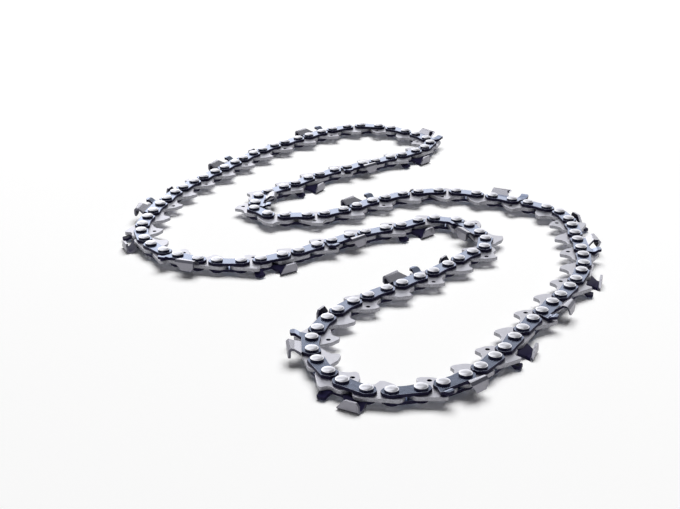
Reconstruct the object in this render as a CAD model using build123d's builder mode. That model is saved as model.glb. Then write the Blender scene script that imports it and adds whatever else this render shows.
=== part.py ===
"""Saw chain: one closed loop of cutters, tie straps, drive links and rivets, laid on its side.

Millimetres, +Z up. The loop lies on the table as it was dropped there, with every rivet upright.
It rests on the side plates of its lower cutters. The origin is under the middle of its box.
A link is drawn in its own frame: x along the run of the chain, y outward, z up from its inner face.
"""
import os

from build123d import *

# Pitch and count of the chain
pitch = 8.255                # half the distance over three rivets
strap_span = 9.0             # rivet to rivet on a strap or cutter
pattern_repeats = 16         # each repeat: left cutter, ties, right cutter, ties

# Plates and rivets
strap_thickness = 1.1
drive_gauge = 1.3            # thickness of a drive link, which runs in the groove of the bar
head_diameter = 4.4
head_height = 1.1
head_facets = 7

# Tie strap outline
strap_gap = 1.1              # free space between two straps in a row
strap_outer = 2.9            # rivet line to the outer edge
strap_inner = 3.0            # rivet line to the sliding edge, at the rivets
strap_waist = 2.3            # rivet line to the sliding edge, midway
strap_shoulder = 2.0         # length of the slanted outer corner
strap_heel = 2.0             # length of the slanted inner corner

# Drive link outline
drive_gap = 0.6              # free space between two drive links in a row
drive_outer = 3.5            # rivet line to the outer edge
drive_shoulder = 2.6         # length of the slanted outer corner
tang_depth = 8.3             # rivet line to the tip of the tang
tang_tip = 1.5               # width of the blunt tip
tang_tip_lead = 0.8          # how far the tip reaches ahead of the middle
tang_root = 4.0              # rivet line to the root of the hook
hook_depth = 1.2             # how far the front edge of the tang is scooped out
tang_bulge = 0.5             # how far its rear edge swells

# Bumper on the outer edge of the drive link ahead of each cutter
bumper_height = 6.6          # rivet line to its top
bumper_setback = 0.5         # how far its top starts behind the middle
bumper_top = 1.5             # length of its blunt top
bumper_flank = 1.2           # how far its rear flank slopes back
bumper_heel = 0.7            # height of the flank's foot over the outer edge

# Cutter
gauge_height = 7.3           # rivet line to the top of the depth gauge
gauge_reach = 5.1            # depth gauge past the front rivet
gauge_width = 3.7            # length of the depth gauge, with the beak that points back
gauge_crown = 0.7            # how far its top falls back from its foremost point
gauge_brow = 2.4             # from the top down to the foremost point
gauge_beak = 0.5             # how much lower the beak is than the top
gauge_neck = 2.9             # from the front to the notch under the beak
gauge_notch = 2.1            # from the top down to the notch
gauge_foot = 3.5             # from the front to the end of the gullet
gullet_floor = 3.3           # rivet line to the bottom of the gullet
cutter_height = 8.3          # rivet line to the cutting edge
cutter_relief = 0.9          # how much lower the top plate is at its rear
cutter_lead = 0.5            # cutting corner ahead of the middle of the rivets
top_plate_length = 7.5
top_plate_thickness = 0.85
top_plate_width = 3.9        # across the chain, from the side plate's face
leading_edge_slant = 2.6     # how far the cutting edge falls back across the chain
corner_bevel = 0.85          # bevel between side plate and top plate
side_plate_set = 1.6         # how far the side plate stands out past the chassis
side_plate_foot = 1.6        # length of the slope between chassis and side plate

# Where the middle line of the chain runs on the table, against its running direction
route_points = [
    (-16, -111), (-10.5, -135.5), (1.5, -147.5), (17, -146.5), (36, -132.5), (53, -103.5),
    (69.5, -76), (83, -46), (85.5, -12.5), (83.5, 12.5), (66, 28.5), (35.5, 41), (7, 27),
    (-13, 11), (-29, 8.5), (-36.5, 10), (-42.5, 17), (-42.5, 24.5), (-41.5, 34), (-31, 46.5),
    (-21, 59), (-3.5, 75.5), (22.5, 95.5), (37, 116), (25.5, 137), (7, 148), (-22.5, 128.5),
    (-44, 103.5), (-59.5, 75), (-75, 46), (-84, 14), (-85.5, -10), (-74.5, -31.5), (-43, -43),
    (-16, -26.5), (3, -11.5), (17.5, -3.5), (32, 5), (40, 2.5), (44.5, -3), (48, -11.5),
    (48, -28.5), (43.5, -33.5), (33, -46.5), (15, -65), (-7.5, -88.5),
]
route_samples = 4000         # fineness of the trace along the route
closing_steps = 48           # halvings that find where a step ends and where the loop closes

# Worked out from the sizes above
drive_span = 2 * pitch - strap_span
stations = 4 * pattern_repeats
lower_strap_level = side_plate_set
drive_level = lower_strap_level + strap_thickness
upper_strap_level = drive_level + drive_gauge
upper_head_level = upper_strap_level + strap_thickness


def sliding_edge():
    """Inner edge of a strap or cutter, front to rear: rounded under each rivet, with a waist between."""
    rivet = strap_span / 2
    end = rivet + (drive_span - strap_gap) / 2
    return [
        (end, strap_heel - strap_inner),
        (end - strap_heel, -strap_inner),
        (0, -strap_waist),
        (strap_heel - end, -strap_inner),
        (-end, strap_heel - strap_inner),
    ]


# Tie strap
strap_end = strap_span / 2 + (drive_span - strap_gap) / 2
with BuildPart() as tie_strap:
    with BuildSketch():
        Polygon(sliding_edge() + [
            (-strap_end, strap_outer - strap_shoulder),
            (strap_shoulder - strap_end, strap_outer),
            (strap_end - strap_shoulder, strap_outer),
            (strap_end, strap_outer - strap_shoulder),
        ])
    extrude(amount=strap_thickness)

# Drive link: two eyes and a tang with a scooped front edge
eye_radius = (strap_span - drive_gap) / 2
drive_end = drive_span / 2 + eye_radius
hook_root = Vector(drive_end - eye_radius / 2, -tang_root)
hook_tip = Vector(tang_tip_lead, -tang_depth)
hook_edge = hook_tip - hook_root
hook_hollow = Vector(hook_edge.Y, -hook_edge.X).normalized() * hook_depth
rear_tip = Vector(tang_tip_lead - tang_tip, -tang_depth)
rear_root = Vector(-hook_root.X, hook_root.Y)
rear_bulge = Vector(-tang_bulge, -tang_bulge)


def drive_outline(crown):
    """Outline of a drive link, with the points of what stands on its outer edge, rear to front."""
    return [
        (drive_end, drive_outer - drive_shoulder),
        hook_root,
        hook_root + hook_edge / 3 + hook_hollow,
        hook_root + hook_edge * 2 / 3 + hook_hollow,
        hook_tip,
        rear_tip,
        (rear_root + rear_tip) / 2 + rear_bulge,
        rear_root,
        (-drive_end, drive_outer - drive_shoulder),
        (drive_shoulder - drive_end, drive_outer),
        *crown,
        (drive_end - drive_shoulder, drive_outer),
    ]


with BuildPart() as drive_link:
    with BuildSketch():
        Polygon(drive_outline([]))
    extrude(amount=drive_gauge)

bumper_rear = -bumper_setback - bumper_top
with BuildPart() as bumper_link:
    with BuildSketch():
        Polygon(drive_outline([
            (bumper_rear - bumper_flank, drive_outer + bumper_heel),
            (bumper_rear, bumper_height),
            (-bumper_setback, bumper_height),
        ]))
    extrude(amount=drive_gauge)

# Cutter: chassis and depth gauge in one plate, then the side plate that turns over into the top plate
gauge_front = strap_span / 2 + gauge_reach
cutter_rear = cutter_lead - top_plate_length
side_face = strap_thickness + side_plate_set


def cutting_section(x, height):
    """Section across the chain of side plate, bevel and top plate, for one height of the top plate."""
    inner = height - top_plate_thickness
    lowest = side_face - top_plate_width
    return [
        (x, gullet_floor, 0),
        (x, gullet_floor + side_plate_foot, side_face - top_plate_thickness),
        (x, inner - corner_bevel / 2, side_face - top_plate_thickness),
        (x, inner, side_face - top_plate_thickness - corner_bevel / 2),
        (x, inner, lowest),
        (x, height, lowest),
        (x, height, side_face - corner_bevel),
        (x, height - corner_bevel, side_face),
        (x, gullet_floor + side_plate_foot / 2, side_face),
        (x, gullet_floor, strap_thickness),
    ]


def flat_sided(front, rear):
    """Solid between two sections with as many corners, every side a flat face."""
    walls = [Face(Wire.make_polygon(front)), Face(Wire.make_polygon(rear))]
    for corner in range(len(front)):
        around = [front[corner - 1], front[corner], rear[corner], rear[corner - 1]]
        walls.append(Face(Wire.make_polygon(around)))
    return Solid(Shell(walls))


with BuildPart() as right_cutter:
    with BuildSketch():
        Polygon(sliding_edge() + [
            (-strap_end, strap_outer - strap_shoulder),
            (strap_shoulder - strap_end, gullet_floor),
            (gauge_front - gauge_foot, gullet_floor),
            (gauge_front - gauge_neck, gauge_height - gauge_notch),
            (gauge_front - gauge_width, gauge_height - gauge_beak),
            (gauge_front - gauge_crown, gauge_height),
            (gauge_front, gauge_height - gauge_brow),
            (strap_end, strap_outer - strap_shoulder),
        ])
    extrude(amount=strap_thickness)
    add(flat_sided(
        cutting_section(cutter_lead, cutter_height),
        cutting_section(cutter_rear, cutter_height - cutter_relief),
    ))
    with BuildSketch(Plane.XZ.offset(-gullet_floor - side_plate_foot)):
        Polygon([
            (cutter_lead, side_face - corner_bevel),
            (cutter_lead - leading_edge_slant, side_face - top_plate_width),
            (cutter_lead, side_face - top_plate_width),
        ])
    extrude(amount=-cutter_height, mode=Mode.SUBTRACT)

with BuildPart() as left_cutter:
    add(right_cutter.part)
    mirror(about=Plane.XY, mode=Mode.REPLACE)

# Rivet heads
with BuildPart() as upper_head:
    with BuildSketch() as head_rim:
        RegularPolygon(radius=head_diameter / 2, side_count=head_facets)
    loft(sections=[head_rim.face(), Vertex(0, 0, head_height)])

with BuildPart() as lower_head:
    add(upper_head.part)
    mirror(about=Plane.XY, mode=Mode.REPLACE)

# Route of the chain, traced as complex numbers: real part x, imaginary part y
with BuildLine() as route:
    Spline(*route_points, periodic=True)
trace_shares = [step / route_samples for step in range(route_samples)]
trace = [complex(point.X, point.Y) for point in route.edge().positions(trace_shares)]
longest_step = route_samples * 2 * strap_span / route.edge().length


def along_route(way):
    """Point on the route, a whole number of samples or a share of one further on."""
    before = int(way)
    share = way - before
    return trace[before % route_samples] * (1 - share) + trace[(before + 1) % route_samples] * share


def step_off(shrink):
    """Rivets met when the spacings are stepped off along the route, and where the walk ends."""
    rivets = []
    way = 0.0
    for link in range(2 * stations):
        here = along_route(way)
        rivets.append(here / shrink)
        spacing = shrink * (drive_span if link % 2 else strap_span)
        near = way
        far = way + longest_step
        for _ in range(closing_steps):
            middle = (near + far) / 2
            if abs(along_route(middle) - here) < spacing:
                near = middle
            else:
                far = middle
        way = near
    return rivets, way


# The route is scaled until the last link meets the first rivet again
small = 0.7
large = 1.4
for _ in range(closing_steps):
    shrink = (small + large) / 2
    if step_off(shrink)[1] < route_samples:
        small = shrink
    else:
        large = shrink
rivets = step_off(shrink)[0]


def corners(piece, lead, trail):
    """Corners of a link laid from its trailing to its leading rivet, seen from above."""
    heading = (lead - trail) / abs(lead - trail)
    return [(lead + trail) / 2 + heading * complex(v.X, v.Y) for v in piece.part.vertices()]


# The middle of the whole loop goes over the origin
spread = []
for place in range(0, 2 * stations, 4):
    spread += corners(right_cutter, rivets[place], rivets[place + 1])
    spread += corners(bumper_link, rivets[place - 1], rivets[place])
    spread += corners(drive_link, rivets[place + 1], rivets[place + 2])
low = complex(min(c.real for c in spread), min(c.imag for c in spread))
high = complex(max(c.real for c in spread), max(c.imag for c in spread))
rivets = [rivet - (low + high) / 2 for rivet in rivets]


def lay(lead, trail, level):
    """Place of a link with its inner face at a level, between its two rivets."""
    middle = (lead + trail) / 2
    heading = lead - trail
    return Plane(
        origin=(middle.real, middle.imag, level),
        x_dir=(heading.real, heading.imag, 0),
        z_dir=(0, 0, 1),
    ).location


def lay_strap(station, level):
    """Place of the strap or cutter of a station."""
    return lay(rivets[2 * station], rivets[2 * station + 1], level)


def lay_drive(station):
    """Place of the drive link behind a station."""
    return lay(rivets[2 * station + 1], rivets[(2 * station + 2) % len(rivets)], drive_level)


os.makedirs("parts", exist_ok=True)

# Cutters, one file each: right ones in the upper row, left ones in the lower row
for repeat in range(pattern_repeats):
    with BuildPart() as right:
        with Locations(lay_strap(4 * repeat, upper_strap_level)):
            add(right_cutter.part)
    right.part.label = f"right_cutter_{repeat + 1:02d}"
    export_step(right.part, f"parts/right_cutter_{repeat + 1:02d}.step")

    with BuildPart() as left:
        with Locations(lay_strap(4 * repeat + 2, drive_level)):
            add(left_cutter.part)
    left.part.label = f"left_cutter_{repeat + 1:02d}"
    export_step(left.part, f"parts/left_cutter_{repeat + 1:02d}.step")

# Drive links, one file for the four of a repeat: two plain ones, and two with a bumper
for repeat in range(pattern_repeats):
    first = 4 * repeat
    with BuildPart() as drives:
        with Locations(lay_drive(first), lay_drive(first + 2)):
            add(drive_link.part)
        with Locations(lay_drive(first + 1), lay_drive(first + 3)):
            add(bumper_link.part)
    drives.part.label = f"drive_links_{repeat + 1:02d}"
    export_step(drives.part, f"parts/drive_links_{repeat + 1:02d}.step")

# Tie straps, one file for the straps of two repeats
for group in range(pattern_repeats // 2):
    chosen = range(8 * group, 8 * group + 8)
    upper_row = [lay_strap(station, upper_strap_level) for station in chosen if station % 4 != 0]
    lower_row = [lay_strap(station, lower_strap_level) for station in chosen if station % 4 != 2]
    with BuildPart() as ties:
        with Locations(*upper_row, *lower_row):
            add(tie_strap.part)
    ties.part.label = f"tie_straps_{group + 1:02d}"
    export_step(ties.part, f"parts/tie_straps_{group + 1:02d}.step")

# Rivets, one file for those of four repeats
for group in range(pattern_repeats // 4):
    chosen = rivets[32 * group:32 * group + 32]
    with BuildPart() as heads:
        with Locations(*[(rivet.real, rivet.imag, upper_head_level) for rivet in chosen]):
            add(upper_head.part)
        with Locations(*[(rivet.real, rivet.imag, lower_strap_level) for rivet in chosen]):
            add(lower_head.part)
    heads.part.label = f"rivets_{group + 1:02d}"
    export_step(heads.part, f"parts/rivets_{group + 1:02d}.step")
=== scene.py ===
"""Looks of the saw chain loop: each link rebuilt with rounded edges on the rivets of the CAD model."""
import cmath
import math

import bmesh
import bpy
from mathutils import Matrix, Vector, geometry


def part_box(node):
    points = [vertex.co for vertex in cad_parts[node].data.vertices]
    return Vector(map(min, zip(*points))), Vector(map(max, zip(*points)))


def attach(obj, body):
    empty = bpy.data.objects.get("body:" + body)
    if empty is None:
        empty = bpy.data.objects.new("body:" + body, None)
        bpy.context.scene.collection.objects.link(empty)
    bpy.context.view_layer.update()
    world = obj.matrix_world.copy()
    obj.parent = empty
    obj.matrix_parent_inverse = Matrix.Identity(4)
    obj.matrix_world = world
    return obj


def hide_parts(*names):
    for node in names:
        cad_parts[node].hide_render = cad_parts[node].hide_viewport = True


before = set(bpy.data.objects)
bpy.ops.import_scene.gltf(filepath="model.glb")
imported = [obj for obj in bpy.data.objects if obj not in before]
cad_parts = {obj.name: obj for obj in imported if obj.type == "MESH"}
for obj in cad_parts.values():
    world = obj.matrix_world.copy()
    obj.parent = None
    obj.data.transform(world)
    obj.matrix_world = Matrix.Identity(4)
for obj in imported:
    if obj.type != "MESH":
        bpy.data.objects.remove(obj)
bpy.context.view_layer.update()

# Sizes are in millimetres, as in the CAD model, and Blender's metres come from this factor
MM = 0.001

# How the links stack up
STRAP_SPAN = 9.0
DRIVE_SPAN = 7.51
STRAP_THICKNESS = 1.1
DRIVE_GAUGE = 1.3
SIDE_PLATE_SET = 1.6
LOWER_STRAP_LEVEL = SIDE_PLATE_SET
DRIVE_LEVEL = LOWER_STRAP_LEVEL + STRAP_THICKNESS
UPPER_STRAP_LEVEL = DRIVE_LEVEL + DRIVE_GAUGE
SIDE_FACE = STRAP_THICKNESS + SIDE_PLATE_SET

# Tie straps and the chassis of cutters
STRAP_END = 7.705
STRAP_SHOULDER = STRAP_END - 2.0
STRAP_TOP = 2.9
END_TOP = 0.9
END_BOTTOM = -1.0
SLIDING_LEVEL = -3.0
WAIST_LEVEL = -2.3

# Drive links
DRIVE_END = 8.175
EYE_SIDE = 7.31
EYE_RISE = 2.63
EYE_ROUNDING = 4.2
CHEEK = 5.855
CHEEK_LEVEL = -4.0
TANG_TIP = -8.3
CROWN_END = 6.08
CROWN_LEVEL = 3.5
BUMPER_HEIGHT = 6.6
OIL_HOLE = complex(-1.9, -5.05)
OIL_HOLE_RADIUS = 0.8
OIL_HOLE_SIDES = 20

# Cutters
GULLET_FLOOR = 3.3
GULLET_FOOT = 1.2
GULLET_HOLLOW = 5.6
CUTTER_HEIGHT = 8.3
CUTTER_RELIEF = 0.9
CUTTER_LEAD = 0.5
CUTTER_REAR = -7.0
CUTTER_LENGTH = CUTTER_LEAD - CUTTER_REAR
TOP_PLATE_THICKNESS = 0.85
TOP_PLATE_WIDTH = 3.9
LEADING_EDGE_SLANT = 2.6
CORNER_BEVEL = 0.85
FILED_UNDERCUT = 0.3
WEAR_MARK = CUTTER_REAR + 0.75
WEAR_MARK_HALF = 0.1
WEAR_MARK_DEPTH = 0.07
REAR_ROUNDING_START = CUTTER_REAR + 0.15
REAR_ROUNDING = 0.06
CLIP_START = 0.62
CLIP_LENGTH = 0.9
CREST_LEAN = 0.15
OUTER_FOOT = complex(3.2, STRAP_THICKNESS - 0.03)
INNER_FOOT = complex(3.35, 0.02)
OUTER_KNEE = 5.5
INNER_KNEE = 5.8
OUTER_KNEE_DROP = 1.85
INNER_KNEE_DROP = 1.93
SIDE_PLATE_RADII = [0.01, 0.9, 0.35, 0.35, 0.01]
TOP_PLATE_MARGIN = 0.4
GAUGE_FRONT = 9.6
GAUGE_HEIGHT = 7.3
GAUGE_SET = 1.0
GAUGE_BEND_START = GULLET_FLOOR + 0.3
GAUGE_BEND_LENGTH = 2.4
GAUGE_SLICES = 6

# Rivet heads
HEAD_RADIUS = 2.2
HEAD_HEIGHT = 1.1
HEAD_SIDES = 32
HEAD_WALL_LEVELS = 2

# Fineness of the meshes
EDGE_ROUNDING = 0.12
BEND_STEPS = 4
MOST_OF_A_SIDE = 0.47
LEAST_LEAN = 0.5
SAME_PLACE = 0.002
SHARP_ANGLE = math.radians(50)
PEAK_TOLERANCE = 0.01

# A repeat has four stations along the chain: right cutter, tie straps, left cutter, tie straps
REPEATS = sum(name.startswith("right_cutter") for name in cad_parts)
REPEAT_STATIONS = 4
RIGHT_STATION = 0
LEFT_STATION = 2
TIE_NODE_STATIONS = 2 * REPEAT_STATIONS
RIVET_NODE_STATIONS = 4 * REPEAT_STATIONS


# Where the links are
def rivet_centres():
    """Rivet centres seen from above, from the peaks of the CAD rivet heads."""
    found = {}
    for name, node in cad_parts.items():
        if name.startswith("rivets"):
            corners = [node.matrix_world @ v.co / MM for v in node.data.vertices]
            top = max(c.z for c in corners)
            for c in corners:
                if top - c.z < PEAK_TOLERANCE:
                    found[(round(c.x, 2), round(c.y, 2))] = complex(c.x, c.y)
    return [found[key] for key in sorted(found)]


def middle_of(node):
    """Middle of a CAD node's box seen from above."""
    low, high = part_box(node)
    return complex(low[0] + high[0], low[1] + high[1]) / 2 / MM


def stations_in_order():
    """(leading rivet, trailing rivet) of every strap or cutter, against the run of the chain."""
    rivets = rivet_centres()

    def mate(rivet, span):
        return min(rivets, key=lambda other: abs(abs(other - rivet) - span))

    def walk(lead):
        order = []
        while len(order) < len(rivets) // 2:
            trail = mate(lead, STRAP_SPAN)
            order.append((lead, trail))
            lead = mate(trail, DRIVE_SPAN)
        return order

    first = middle_of("right_cutter_01")
    second = middle_of("left_cutter_01")
    start = min(rivets, key=lambda rivet: abs((rivet + mate(rivet, STRAP_SPAN)) / 2 - first))
    walks = [walk(start), walk(mate(start, STRAP_SPAN))]
    return min(walks, key=lambda order: abs(sum(order[LEFT_STATION]) / 2 - second))


def seat(pair, level):
    """Where a link lies: its own frame at a level, between its leading and trailing rivet."""
    lead, trail = pair
    middle = (lead + trail) / 2
    run = (lead - trail) / abs(lead - trail)
    return Matrix((
        (run.real, -run.imag, 0, middle.real),
        (run.imag, run.real, 0, middle.imag),
        (0, 0, 1, level),
        (0, 0, 0, 1),
    ))


# Numbers that vary over a surface or a backdrop
def ramp(tree, value, start, end, low, high, change="SMOOTHSTEP"):
    """Goes from low to high while the value goes from start to end."""
    node = tree.nodes.new("ShaderNodeMapRange")
    node.interpolation_type = change
    for socket, number in (("From Min", start), ("From Max", end), ("To Min", low), ("To Max", high)):
        node.inputs[socket].default_value = number
    tree.links.new(value, node.inputs["Value"])
    return node.outputs["Result"]


def combine(tree, operation, first, *others):
    """Sum or product of numbers that vary."""
    total = first
    for other in others:
        node = tree.nodes.new("ShaderNodeMath")
        node.operation = operation
        tree.links.new(total, node.inputs[0])
        tree.links.new(other, node.inputs[1])
        total = node.outputs["Value"]
    return total


# Materials
NOISE_DETAIL = 3.0
PIT_DEPTH = 0.3 * MM


def steel(
    name, colour, roughness, metallic=1.0, gloss=0.5, scale=900.0, grain=0.1, uneven=0.05, pitted=0.0,
):
    """Procedural steel with a fine unevenness of tone and polish, and pits where it was cut."""
    material = bpy.data.materials.new(name)
    material.use_nodes = True
    tree = material.node_tree
    shader = tree.nodes["Principled BSDF"]
    shader.inputs["Metallic"].default_value = metallic
    shader.inputs["Specular IOR Level"].default_value = gloss
    where = tree.nodes.new("ShaderNodeTexCoord")
    noise = tree.nodes.new("ShaderNodeTexNoise")
    noise.inputs["Scale"].default_value = scale
    noise.inputs["Detail"].default_value = NOISE_DETAIL
    tree.links.new(where.outputs["Object"], noise.inputs["Vector"])
    speckle = noise.outputs["Fac"]
    tint = tree.nodes.new("ShaderNodeVectorMath")
    tint.operation = "MULTIPLY"
    tint.inputs[0].default_value = colour
    tree.links.new(ramp(tree, speckle, 0, 1, 1 - grain, 1 + grain, "LINEAR"), tint.inputs[1])
    tree.links.new(tint.outputs["Vector"], shader.inputs["Base Color"])
    polish = ramp(tree, speckle, 0, 1, roughness - uneven, roughness + uneven, "LINEAR")
    tree.links.new(polish, shader.inputs["Roughness"])
    if pitted:
        pits = tree.nodes.new("ShaderNodeBump")
        pits.inputs["Strength"].default_value = pitted
        pits.inputs["Distance"].default_value = PIT_DEPTH
        tree.links.new(speckle, pits.inputs["Height"])
        tree.links.new(pits.outputs["Normal"], shader.inputs["Normal"])
    return material


BLUED = steel("blued_face", (0.335, 0.385, 0.53), 0.19)
RIM = steel("blued_rim", (0.34, 0.37, 0.48), 0.35, metallic=0.5)
# Near-black edge paint: the dark oxide of the edges, darkened further as painted shade; on inner faces and
# in bores it is painted shade only
BLUED_EDGE_AND_SHADE = steel("blued_edge_and_painted_shade", (0.012, 0.010, 0.036), 0.5, metallic=0.0, gloss=0.1)
GROUND = steel("ground_face", (0.80, 0.80, 0.88), 0.40)
GROUND_WALL = steel(
    "ground_edge", (0.36, 0.36, 0.40), 0.42, metallic=0.4, scale=2200.0, grain=0.6, pitted=0.7,
)
HEAD_TOP = steel("peened_head", (0.89, 0.895, 0.97), 0.30)
# The rivet head's wall is the same steel as its top, painted near-black as shade
HEAD_WALL_SHADE = steel("head_wall_painted_shade", (0.014, 0.012, 0.040), 0.45, metallic=0.0, gloss=0.15)
CHROME = steel("chromed_side", (0.56, 0.56, 0.63), 0.26, grain=0.05, uneven=0.02)
# The top plate and the bevel are the side plate's chrome, painted darker as shade
SHADED_TOP_PLATE = steel("chromed_top_painted_shade", (0.28, 0.275, 0.315), 0.38, metallic=0.6)
SHADED_BEVEL = steel("chromed_bevel_painted_shade", (0.11, 0.11, 0.14), 0.36, metallic=0.6)
FILED = steel("filed_edge", (0.62, 0.62, 0.70), 0.28)


# Building blocks of the meshes
class Soup:
    """Corners and faces of a piece, with the material of each face and whether it is smooth."""

    def __init__(self):
        self.corners = []
        self.faces = []
        self.paints = []
        self.smooth = []

    def take(self, corners, faces, paint, smooth=True):
        """Adds faces of one material, which count from the first of their own corners."""
        base = len(self.corners)
        self.corners += [Vector(c) for c in corners]
        self.faces += [tuple(base + i for i in face) for face in faces]
        self.paints += [paint] * len(faces)
        self.smooth += [smooth] * len(faces)

    def place(self, other, matrix, upside_down=False):
        """Adds a copy of another piece, turned over in its own frame if asked."""
        base = len(self.corners)
        flip = Matrix.Diagonal((1, 1, -1, 1)) if upside_down else Matrix.Identity(4)
        move = matrix @ flip
        self.corners += [move @ c for c in other.corners]
        for face in other.faces:
            turned = tuple(base + i for i in face)
            self.faces.append(turned[::-1] if upside_down else turned)
        self.paints += other.paints
        self.smooth += other.smooth

    def materials(self):
        """The materials in use, each once."""
        return list(dict.fromkeys(self.paints))


def rounded(points, radii):
    """Closed outline of complex points with every corner rounded by its own radius."""
    out = []
    count = len(points)
    for i, corner in enumerate(points):
        back = points[i - 1] - corner
        ahead = points[(i + 1) % count] - corner
        half = abs(cmath.phase(back / ahead)) / 2
        cut = min(radii[i] / math.tan(half), MOST_OF_A_SIDE * abs(back), MOST_OF_A_SIDE * abs(ahead))
        radius = cut * math.tan(half)
        towards = back / abs(back) + ahead / abs(ahead)
        centre = corner + towards / abs(towards) * radius / math.sin(half)
        start = corner + back / abs(back) * cut - centre
        end = corner + ahead / abs(ahead) * cut - centre
        turn = cmath.phase(end / start)
        for step in range(BEND_STEPS + 1):
            out.append(centre + start * cmath.exp(1j * turn * step / BEND_STEPS))
    return out


def inset(outline, distance):
    """Outline moved inward by a distance; the outline runs counter-clockwise."""
    out = []
    count = len(outline)
    for i, point in enumerate(outline):
        before = point - outline[i - 1]
        after = outline[(i + 1) % count] - point
        left = (before / abs(before) + after / abs(after)) * 1j
        left /= abs(left)
        lean = max(LEAST_LEAN, (left.conjugate() * (before / abs(before) * 1j)).real)
        out.append(point + left * distance / lean)
    return out


def circle(centre, radius, sides):
    """Counter-clockwise ring of complex points."""
    return [centre + radius * cmath.exp(2j * math.pi * k / sides) for k in range(sides)]


def belt(level, count):
    """Faces between one ring of corners and the ring above it."""
    low = level * count
    high = low + count
    return [(low + i, low + (i + 1) % count, high + (i + 1) % count, high + i) for i in range(count)]


def cap(soup, ring, level, upward, paint, bore):
    """Flat face inside a ring, round a bore where there is one."""
    corners = [Vector((p.real, p.imag, level)) for p in ring + bore]
    faces = []
    if bore:
        for a, b, c in geometry.tessellate_polygon([corners[:len(ring)], corners[len(ring):]]):
            left_turn = (corners[b] - corners[a]).cross(corners[c] - corners[a]).z > 0
            faces.append((a, b, c) if left_turn == upward else (c, b, a))
    else:
        whole = tuple(range(len(ring)))
        faces.append(whole if upward else whole[::-1])
    soup.take(corners, faces, paint, smooth=False)


def plate(outline, thickness, top, rim, wall, under, bore=None):
    """Flat plate with rounded edges; top, rim, wall and under are materials, and a bore is painted
    near-black as shade.
    """
    soup = Soup()
    count = len(outline)
    soft = EDGE_ROUNDING * (1 - math.sqrt(0.5))
    rings = [
        (inset(outline, EDGE_ROUNDING), 0.0),
        (inset(outline, soft), soft),
        (outline, EDGE_ROUNDING),
        (outline, thickness - EDGE_ROUNDING),
        (inset(outline, soft), thickness - soft),
        (inset(outline, EDGE_ROUNDING), thickness),
    ]
    corners = [(p.real, p.imag, z) for ring, z in rings for p in ring]
    topmost = len(rings) - 2
    for level in range(topmost + 1):
        soup.take(corners, belt(level, count), rim if level == topmost else wall)
    bore = bore or []
    cap(soup, rings[0][0], 0.0, False, under, bore)
    cap(soup, rings[-1][0], thickness, True, top, bore)
    if bore:
        tube = [(p.real, p.imag, z) for z in (0.0, thickness) for p in bore]
        # The bore's wall is painted near-black as shade
        soup.take(tube, [face[::-1] for face in belt(0, len(bore))], BLUED_EDGE_AND_SHADE)
    return soup


# Straps and drive links, each in its own frame: +X to its leading rivet, +Y to the cutting edge
SLIDING_EDGE = [
    complex(-STRAP_END, END_BOTTOM),
    complex(-STRAP_SHOULDER, SLIDING_LEVEL),
    complex(0, WAIST_LEVEL),
    complex(STRAP_SHOULDER, SLIDING_LEVEL),
    complex(STRAP_END, END_BOTTOM),
]
SLIDING_RADII = [0.6, 0.8, 9.0, 0.8, 0.6]

DRIVE_EDGE = [
    complex(-EYE_SIDE, EYE_RISE),
    complex(-DRIVE_END, 0),
    complex(-EYE_SIDE, -EYE_RISE),
    complex(-CHEEK, CHEEK_LEVEL),
    complex(-3.78, -6.65),
    complex(-0.7, TANG_TIP),
    complex(0.8, TANG_TIP),
    complex(1.71, -5.95),
    complex(3.39, -4.52),
    complex(CHEEK, CHEEK_LEVEL),
    complex(EYE_SIDE, -EYE_RISE),
    complex(DRIVE_END, 0),
    complex(EYE_SIDE, EYE_RISE),
]
EYE_RADII = [EYE_ROUNDING] * 3
DRIVE_RADII = EYE_RADII + [2.0, 3.0, 0.9, 0.35, 1.5, 1.5, 1.0] + EYE_RADII


def tie_strap():
    """Strap with rounded ends and a waist on its sliding edge."""
    upper_edge = [
        complex(STRAP_END, END_TOP),
        complex(STRAP_SHOULDER, STRAP_TOP),
        complex(-STRAP_SHOULDER, STRAP_TOP),
        complex(-STRAP_END, END_TOP),
    ]
    outline = rounded(SLIDING_EDGE + upper_edge, SLIDING_RADII + [0.5] * 4)
    return plate(outline, STRAP_THICKNESS, BLUED, RIM, BLUED_EDGE_AND_SHADE, BLUED)


def drive_link():
    """Drive link with two eyes and a hooked tang."""
    crown = [complex(CROWN_END, CROWN_LEVEL), complex(-CROWN_END, CROWN_LEVEL)]
    outline = rounded(DRIVE_EDGE + crown, DRIVE_RADII + [1.5, 1.5])
    return plate(outline, DRIVE_GAUGE, GROUND, GROUND, GROUND_WALL, GROUND)


def bumper_link():
    """Drive link with an oil hole, and a bumper that ramps up towards the depth gauge behind it."""
    crown = [
        complex(5.8, 3.45),
        complex(-0.5, BUMPER_HEIGHT),
        complex(-1.9, BUMPER_HEIGHT),
        complex(-2.4, 4.3),
        complex(-3.5, 3.65),
        complex(-4.9, 3.65),
        complex(-6.0, 3.45),
    ]
    outline = rounded(DRIVE_EDGE + crown, DRIVE_RADII + [2.5, 0.6, 0.5, 0.9, 0.9, 1.5, 1.5])
    bore = circle(OIL_HOLE, OIL_HOLE_RADIUS, OIL_HOLE_SIDES)
    return plate(outline, DRIVE_GAUGE, GROUND, GROUND, GROUND_WALL, GROUND, bore)


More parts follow.
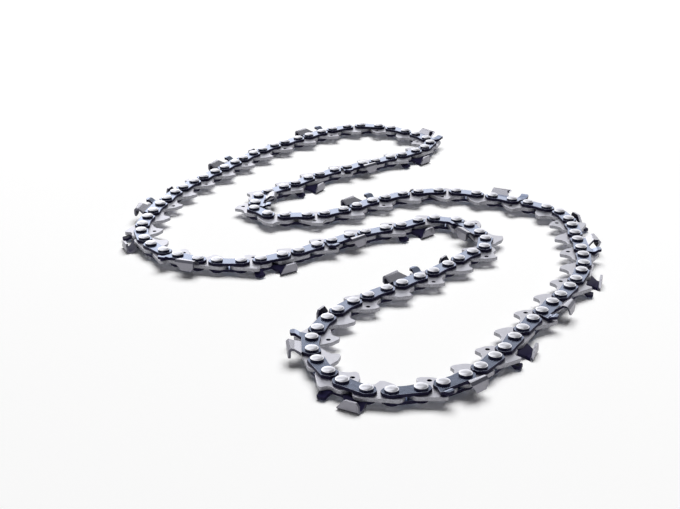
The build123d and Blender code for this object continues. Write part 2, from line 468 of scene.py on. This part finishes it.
# Cutters, in the same frame as straps
def chassis():
    """Chassis and depth gauge of a cutter, with the gauge set outward like the side plate."""
    gullet_level = GULLET_FLOOR + 0.1
    points = SLIDING_EDGE + [
        complex(STRAP_END, END_TOP),
        complex(GAUGE_FRONT, GAUGE_HEIGHT - 2.4),
        complex(GAUGE_FRONT - 0.7, GAUGE_HEIGHT),
        complex(GAUGE_FRONT - 3.8, GAUGE_HEIGHT - 0.5),
        complex(GAUGE_FRONT - 3.5, GAUGE_HEIGHT - 2.1),
        complex(GAUGE_FRONT - 4.3, gullet_level),
        complex(-STRAP_SHOULDER, gullet_level),
        complex(-STRAP_END, END_TOP),
    ]
    outline = rounded(points, SLIDING_RADII + [1.5, 1.6, 1.1, 0.6, 1.2, 0.9, 0.8, 0.5])
    # The chassis's under face, the inner face of the gauge, is painted near-black as shade, unlike a
    # strap's
    return bent_gauge(plate(outline, STRAP_THICKNESS, BLUED, RIM, BLUED_EDGE_AND_SHADE, BLUED_EDGE_AND_SHADE))


def bent_gauge(flat):
    """The plate sliced across its gauge, so that the gauge can lean outward in a soft bend."""
    materials = flat.materials()
    grid = bmesh.new()
    corners = [grid.verts.new(c) for c in flat.corners]
    for face, paint, smooth in zip(flat.faces, flat.paints, flat.smooth):
        made = grid.faces.new([corners[i] for i in face])
        made.material_index = materials.index(paint)
        made.smooth = smooth
    for k in range(GAUGE_SLICES):
        everything = grid.verts[:] + grid.edges[:] + grid.faces[:]
        at = Vector((0, GAUGE_BEND_START + GAUGE_BEND_LENGTH * k / (GAUGE_SLICES - 1), 0))
        bmesh.ops.bisect_plane(grid, geom=everything, plane_co=at, plane_no=(0, 1, 0))
    for v in grid.verts:
        rise = min(1.0, max(0.0, (v.co.y - GAUGE_BEND_START) / GAUGE_BEND_LENGTH))
        v.co.z += GAUGE_SET * rise * rise * (3 - 2 * rise)
    grid.verts.index_update()
    soup = Soup()
    soup.corners = [v.co.copy() for v in grid.verts]
    for face in grid.faces:
        soup.faces.append(tuple(v.index for v in face.verts))
        soup.paints.append(materials[face.material_index])
        soup.smooth.append(face.smooth)
    grid.free()
    return soup


def bent_path(height, inner):
    """Outer or inner line of the side plate, bevel and top plate across the chain, as y + z i."""
    thick = TOP_PLATE_THICKNESS if inner else 0.0
    bevel = CORNER_BEVEL * (0.5 if inner else 1.0)
    foot = INNER_FOOT if inner else OUTER_FOOT
    knee = min(OUTER_KNEE, height - OUTER_KNEE_DROP)
    if inner:
        knee = min(INNER_KNEE, height - INNER_KNEE_DROP)
    points = [
        foot,
        complex(knee, SIDE_FACE - thick - CREST_LEAN),
        complex(height - thick - bevel, SIDE_FACE - thick),
        complex(height - thick, SIDE_FACE - thick - bevel),
        complex(height - thick, SIDE_FACE - TOP_PLATE_WIDTH),
    ]
    line = rounded(points, SIDE_PLATE_RADII)
    bend = BEND_STEPS + 1
    clip_place = SIDE_FACE - CORNER_BEVEL - CLIP_START * (TOP_PLATE_WIDTH - CORNER_BEVEL)
    return [foot] + line[bend:4 * bend] + [complex(height - thick, clip_place), points[-1]]


# How many stretches of that line each zone has, and their materials on the outer face and the front edge;
# the bevel and the top plate are the side plate's chrome painted darker as shade, and the side plate's
# front edge takes the near-black paint
SIDE_STRETCHES = 8
BEVEL_STRETCHES = 5
TOP_STRETCHES = 4
OUTER_PAINTS = [CHROME] * SIDE_STRETCHES + [SHADED_BEVEL] * BEVEL_STRETCHES + [SHADED_TOP_PLATE] * TOP_STRETCHES
FRONT_PAINTS = [BLUED_EDGE_AND_SHADE] * SIDE_STRETCHES + [FILED] * (BEVEL_STRETCHES + TOP_STRETCHES)


def gullet(share):
    """How far the filed front edge stands ahead of the cutting corner, from foot to corner."""
    return (1 - share) * (GULLET_FOOT - GULLET_HOLLOW * share)


def cutting_plate():
    """Side plate that turns over into the top plate, with filed edges and a wear mark on the top plate."""
    soup = Soup()
    # Place along the chain, slant and scoop of the front edge, dip of the top face, clipped rear corner
    rows = [
        (CUTTER_LEAD, LEADING_EDGE_SLANT, 1.0, 0.0, 0.0),
        (-1.5, 1.9, 0.3, 0.0, 0.0),
        (-3.4, 1.0, 0.0, 0.0, 0.0),
        (WEAR_MARK + WEAR_MARK_HALF, 0.0, 0.0, 0.0, CLIP_LENGTH),
        (WEAR_MARK, 0.0, 0.0, WEAR_MARK_DEPTH, CLIP_LENGTH),
        (WEAR_MARK - WEAR_MARK_HALF, 0.0, 0.0, 0.0, CLIP_LENGTH),
        (REAR_ROUNDING_START, 0.0, 0.0, 0.0, CLIP_LENGTH),
        (CUTTER_REAR, 0.0, 0.0, REAR_ROUNDING, CLIP_LENGTH),
    ]
    corners = []
    for x, slant, scoop, dip, clip in rows:
        height = CUTTER_HEIGHT - CUTTER_RELIEF * (CUTTER_LEAD - x) / CUTTER_LENGTH
        corner = height - CORNER_BEVEL
        for inner in (False, True):
            for p in bent_path(height, inner):
                across = 0.0
                if p.real > corner - TOP_PLATE_MARGIN:
                    across = max(0.0, SIDE_FACE - CORNER_BEVEL - p.imag) / (TOP_PLATE_WIDTH - CORNER_BEVEL)
                up = min(1.0, max(0.0, (p.real - GULLET_FLOOR) / (corner - GULLET_FLOOR)))
                shift = clip * max(0.0, across - CLIP_START) / (1 - CLIP_START) - slant * across
                run = x + shift + scoop * gullet(up) * (1 - across)
                if inner:
                    run -= FILED_UNDERCUT * scoop
                deep = dip if across > 0 and not inner else 0.0
                deep -= CUTTER_RELIEF * shift / CUTTER_LENGTH
                corners.append(Vector((run, p.real - deep, p.imag)))
    count = len(corners) // len(rows)
    half = count // 2
    last = len(rows) - 1

    def at(row, i):
        return row * count + i

    def side(face, paint, smooth=True):
        soup.take([corners[v] for v in face], [(0, 1, 2, 3)], paint, smooth)

    # Outer faces take the chrome paints; the inner faces are painted near-black as shade
    for k in range(last):
        for i in range(half - 1):
            j = half + i
            side((at(k, i), at(k, i + 1), at(k + 1, i + 1), at(k + 1, i)), OUTER_PAINTS[i])
            side((at(k, j + 1), at(k, j), at(k + 1, j), at(k + 1, j + 1)), BLUED_EDGE_AND_SHADE)
        for i, j, paint in ((half - 1, count - 1, FILED), (half, 0, BLUED_EDGE_AND_SHADE)):
            side((at(k, i), at(k, j), at(k + 1, j), at(k + 1, i)), paint, smooth=False)
    # Front ends take the filed paint and, on the side plate, the near-black paint; the rear ends are
    # chrome painted dark as shade
    for i in range(half - 1):
        j = half + i
        side((at(0, i), at(0, j), at(0, j + 1), at(0, i + 1)), FRONT_PAINTS[i], smooth=False)
        side((at(last, i), at(last, i + 1), at(last, j + 1), at(last, j)), SHADED_BEVEL, smooth=False)
    return soup


def cutter():
    """Whole cutter, upper side out."""
    soup = Soup()
    soup.place(chassis(), Matrix.Identity(4))
    soup.place(cutting_plate(), Matrix.Identity(4))
    return soup


# Rivets
def rivet_head():
    """Round head with a slightly domed top and an upright wall, which is the same steel painted near-black
    as shade.
    """
    soup = Soup()
    profile = [
        (HEAD_RADIUS, 0.0), (HEAD_RADIUS, 0.52), (2.18, 0.64), (2.11, 0.76), (1.99, 0.87), (1.8, 0.955),
        (1.5, 1.025), (1.1, 1.075), (0.55, HEAD_HEIGHT),
    ]
    corners = [(p.real, p.imag, z) for radius, z in profile for p in circle(0, radius, HEAD_SIDES)]
    last = len(profile) - 1
    for level in range(last):
        soup.take(corners, belt(level, HEAD_SIDES), HEAD_WALL_SHADE if level < HEAD_WALL_LEVELS else HEAD_TOP)
    whole = tuple(range(HEAD_SIDES))
    soup.take(corners, [tuple(last * HEAD_SIDES + k for k in whole)], HEAD_TOP)
    soup.take(corners, [whole[::-1]], HEAD_WALL_SHADE, smooth=False)
    return soup


# The links on their rivets
def dress(node, soup):
    """One mesh object that stands for a CAD node."""
    mesh = bpy.data.meshes.new(node + "_look")
    mesh.from_pydata([c * MM for c in soup.corners], [], soup.faces)
    materials = soup.materials()
    for material in materials:
        mesh.materials.append(material)
    mesh.polygons.foreach_set("material_index", [materials.index(paint) for paint in soup.paints])
    mesh.polygons.foreach_set("use_smooth", soup.smooth)
    grid = bmesh.new()
    grid.from_mesh(mesh)
    bmesh.ops.remove_doubles(grid, verts=grid.verts, dist=SAME_PLACE * MM)
    grid.to_mesh(mesh)
    grid.free()
    # Marking sharp edges makes every face smooth, so the flat ones are set flat again
    smooth = [face.use_smooth for face in mesh.polygons]
    mesh.set_sharp_from_angle(angle=SHARP_ANGLE)
    mesh.polygons.foreach_set("use_smooth", smooth)
    piece = bpy.data.objects.new(node + "_look", mesh)
    bpy.context.scene.collection.objects.link(piece)
    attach(piece, "root")
    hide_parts(node)


stations = stations_in_order()
drives = [(stations[k][1], stations[(k + 1) % len(stations)][0]) for k in range(len(stations))]
strap = tie_strap()
plain_drive = drive_link()
bumper_drive = bumper_link()
whole_cutter = cutter()
head = rivet_head()

for repeat in range(REPEATS):
    start = REPEAT_STATIONS * repeat
    right = Soup()
    right.place(whole_cutter, seat(stations[start + RIGHT_STATION], UPPER_STRAP_LEVEL))
    dress(f"right_cutter_{repeat + 1:02d}", right)
    left = Soup()
    left.place(whole_cutter, seat(stations[start + LEFT_STATION], DRIVE_LEVEL), upside_down=True)
    dress(f"left_cutter_{repeat + 1:02d}", left)
    links = Soup()
    for k in range(start, start + REPEAT_STATIONS):
        links.place(bumper_drive if k % 2 else plain_drive, seat(drives[k], DRIVE_LEVEL))
    dress(f"drive_links_{repeat + 1:02d}", links)

for group in range(len(stations) // TIE_NODE_STATIONS):
    ties = Soup()
    for k in range(TIE_NODE_STATIONS * group, TIE_NODE_STATIONS * (group + 1)):
        if k % REPEAT_STATIONS != RIGHT_STATION:
            ties.place(strap, seat(stations[k], UPPER_STRAP_LEVEL))
        if k % REPEAT_STATIONS != LEFT_STATION:
            ties.place(strap, seat(stations[k], LOWER_STRAP_LEVEL))
    dress(f"tie_straps_{group + 1:02d}", ties)

for group in range(len(stations) // RIVET_NODE_STATIONS):
    heads = Soup()
    for pair in stations[RIVET_NODE_STATIONS * group:RIVET_NODE_STATIONS * (group + 1)]:
        for rivet in pair:
            above = Matrix.Translation((rivet.real, rivet.imag, UPPER_STRAP_LEVEL + STRAP_THICKNESS))
            below = Matrix.Translation((rivet.real, rivet.imag, LOWER_STRAP_LEVEL))
            heads.place(head, above)
            heads.place(head, below, upside_down=True)
    dress(f"rivets_{group + 1:02d}", heads)

# Floor, which looks white to the camera and in the metal, and keeps the object's shadow
FLOOR_REACH = 4.0
NEAR_GLOW = 0.02
FAR_GLOW = 1.0
GLOW_START = 0.25
GLOW_END = 1.5
WHITE = (1, 1, 1, 1)

floor_mesh = bpy.data.meshes.new("floor")
floor_corners = [(x * FLOOR_REACH, y * FLOOR_REACH, 0) for x, y in ((-1, -1), (1, -1), (1, 1), (-1, 1))]
floor_mesh.from_pydata(floor_corners, [], [(0, 1, 2, 3)])
floor = bpy.data.objects.new("floor", floor_mesh)
bpy.context.scene.collection.objects.link(floor)
floor_paint = bpy.data.materials.new("floor")
floor_paint.use_nodes = True
floor_mesh.materials.append(floor_paint)
floor_tree = floor_paint.node_tree
floor_shader = floor_tree.nodes["Principled BSDF"]
floor_shader.inputs["Base Color"].default_value = WHITE
floor_shader.inputs["Roughness"].default_value = 0.9
floor_shader.inputs["Specular IOR Level"].default_value = 0.0
floor_shader.inputs["Emission Color"].default_value = WHITE
rays = floor_tree.nodes.new("ShaderNodeLightPath").outputs
spot = floor_tree.nodes.new("ShaderNodeTexCoord")
away = floor_tree.nodes.new("ShaderNodeVectorMath")
away.operation = "LENGTH"
floor_tree.links.new(spot.outputs["Object"], away.inputs[0])
glow = ramp(floor_tree, away.outputs["Value"], GLOW_START, GLOW_END, NEAR_GLOW, FAR_GLOW)
seen = combine(floor_tree, "ADD", rays["Is Camera Ray"], rays["Is Glossy Ray"])
floor_tree.links.new(combine(floor_tree, "MULTIPLY", seen, glow), floor_shader.inputs["Emission Strength"])

# The metal shows a bright wall low around the object, brightest behind it and on the left,
# a ceiling that is bright on the left, and a dim room
FILL_STRENGTH = 0.04

world = bpy.data.worlds.new("studio")
bpy.context.scene.world = world
world.use_nodes = True
sky_tree = world.node_tree
sky = sky_tree.nodes["Background"]
sky.inputs["Color"].default_value = WHITE
direction = sky_tree.nodes.new("ShaderNodeTexCoord").outputs["Generated"]
parts = sky_tree.nodes.new("ShaderNodeSeparateXYZ")
sky_tree.links.new(direction, parts.inputs["Vector"])
to_right, to_rear, to_top = (parts.outputs[axis] for axis in "XYZ")
behind = ramp(sky_tree, to_rear, -0.1, 0.5, 0.7, 1.0)
low_wall = combine(
    sky_tree, "MULTIPLY",
    ramp(sky_tree, to_top, 0.37, 0.41, 1.3, 0.0),
    behind,
    ramp(sky_tree, to_right, -0.3, 0.2, 1.5, 0.8),
)
ceiling = combine(
    sky_tree, "MULTIPLY",
    ramp(sky_tree, to_top, 0.5, 0.62, 0.0, 0.95),
    ramp(sky_tree, to_top, 0.85, 1.0, 1.0, 0.0),
    behind,
    ramp(sky_tree, to_right, -0.05, 0.22, 1.0, 0.05),
)
room = ramp(sky_tree, to_rear, -0.6, 0.4, 0.12, 0.2)
backdrop = combine(sky_tree, "ADD", low_wall, ceiling, room)
sky_rays = sky_tree.nodes.new("ShaderNodeLightPath").outputs
shown = combine(sky_tree, "ADD", sky_rays["Is Camera Ray"], sky_rays["Is Glossy Ray"])
fill = sky_tree.nodes.new("ShaderNodeMath")
fill.operation = "ADD"
fill.inputs[1].default_value = FILL_STRENGTH
sky_tree.links.new(combine(sky_tree, "MULTIPLY", backdrop, shown), fill.inputs[0])
sky_tree.links.new(fill.outputs["Value"], sky.inputs["Strength"])


# Lamps
def softbox(name, at, size, power):
    """Square area light turned towards the origin."""
    lamp = bpy.data.lights.new(name, "AREA")
    lamp.shape = "SQUARE"
    lamp.size = size
    lamp.energy = power
    box = bpy.data.objects.new(name, lamp)
    box.location = at
    box.rotation_euler = (-Vector(at)).to_track_quat("-Z", "Y").to_euler()
    bpy.context.scene.collection.objects.link(box)
    return box


top_light = softbox("top_light", (0.2, 0.8, 2.5), size=2.2, power=82.0)
top_light.visible_glossy = False
softbox("front_light", (0.0, -0.9, 0.75), size=0.12, power=0.25)

# Camera at the photograph's viewing angle
LOOKING_DOWN = 20.996

camera_data = bpy.data.cameras.new("camera")
camera_data.lens = 67.546
camera_data.sensor_width = 36.0
camera = bpy.data.objects.new("camera", camera_data)
camera.location = (-0.007013, -0.484966, 0.176998)
camera.rotation_euler = (math.radians(90 - LOOKING_DOWN), 0, 0)
bpy.context.scene.collection.objects.link(camera)
bpy.context.scene.camera = camera

bpy.context.scene.view_settings.view_transform = "Standard"
